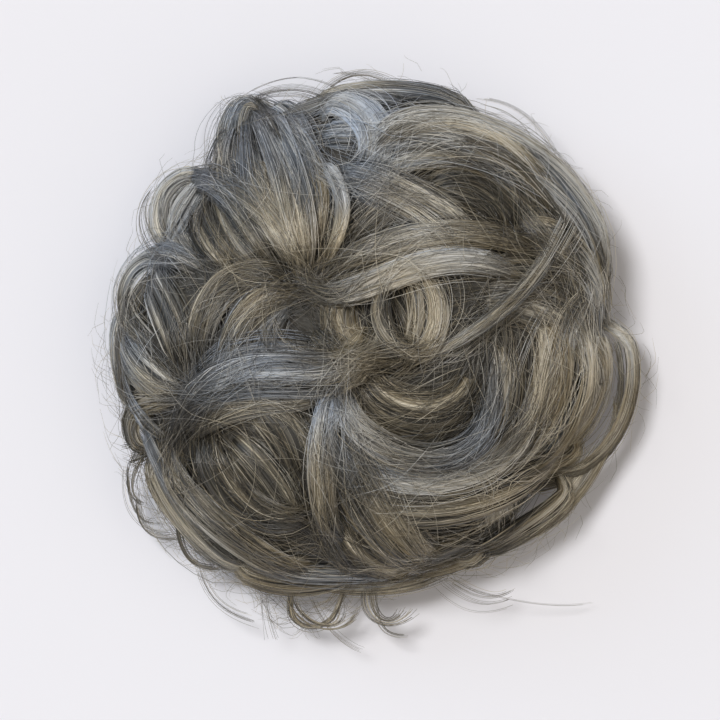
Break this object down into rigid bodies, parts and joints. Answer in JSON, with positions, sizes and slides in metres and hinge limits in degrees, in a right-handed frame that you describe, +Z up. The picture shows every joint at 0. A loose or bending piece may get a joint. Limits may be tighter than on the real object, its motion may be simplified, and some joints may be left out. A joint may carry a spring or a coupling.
{
  "type": "top knot hairpiece",
  "caption": "Messy curled top knot hairpiece: looped locks of ash grey hair on a padded base, with a weft and an elastic loop round the hollow for the wearer's own knot.",
  "frame": {"origin": "middle of the footprint's bounding box, on the surface that the hairpiece rests on", "axes": "+Z up out of the wearer's head, through the band's axis; +Y towards the top of the picture; +X to its right"},
  "size_m": [0.1482, 0.1538, 0.0588],
  "materials": {
    "ash_hair": "glossy synthetic hair, ash grey mixed with beige and blue grey strands",
    "shaded_hair": "the same hair in the shade of the locks above it",
    "elastic": "matt ribbed knitted elastic",
    "weft_tape": "matt folded weft head with rows of machine stitches"
  },
  "bodies": {
    "root": {"peak_arch": "ash_hair", "peak_ribbon": "ash_hair", "left_sweep": "ash_hair", "front_fall": "ash_hair", "curl_inner": "ash_hair", "outer_sweep": "ash_hair", "upper_sweep": "ash_hair", "centre_sweep": "ash_hair", "diagonal_strand": "ash_hair", "centre_ring": "ash_hair", "beige_fan": "ash_hair", "peak_fold": "ash_hair", "peak_flank": "ash_hair", "left_crown": "ash_hair", "left_roll": "ash_hair", "left_arc_outer": "ash_hair", "left_arc_inner": "ash_hair", "left_sweep_low": "ash_hair", "lower_left_sweep": "ash_hair", "lower_left_bowl": "ash_hair", "front_fan": "ash_hair", "curl_middle": "ash_hair", "curl_outer": "ash_hair", "lower_right_loop": "ash_hair", "right_loop": "ash_hair", "right_fall": "ash_hair", "inner_sweep": "ash_hair", "top_crest": "ash_hair", "crown_sweep": "ash_hair", "right_swirl": "ash_hair", "centre_curtain": "ash_hair", "centre_swirl": "ash_hair", "hair_base": "shaded_hair", "elastic_band": "elastic", "weft_track": "weft_tape"}
  },
  "joints": []
}
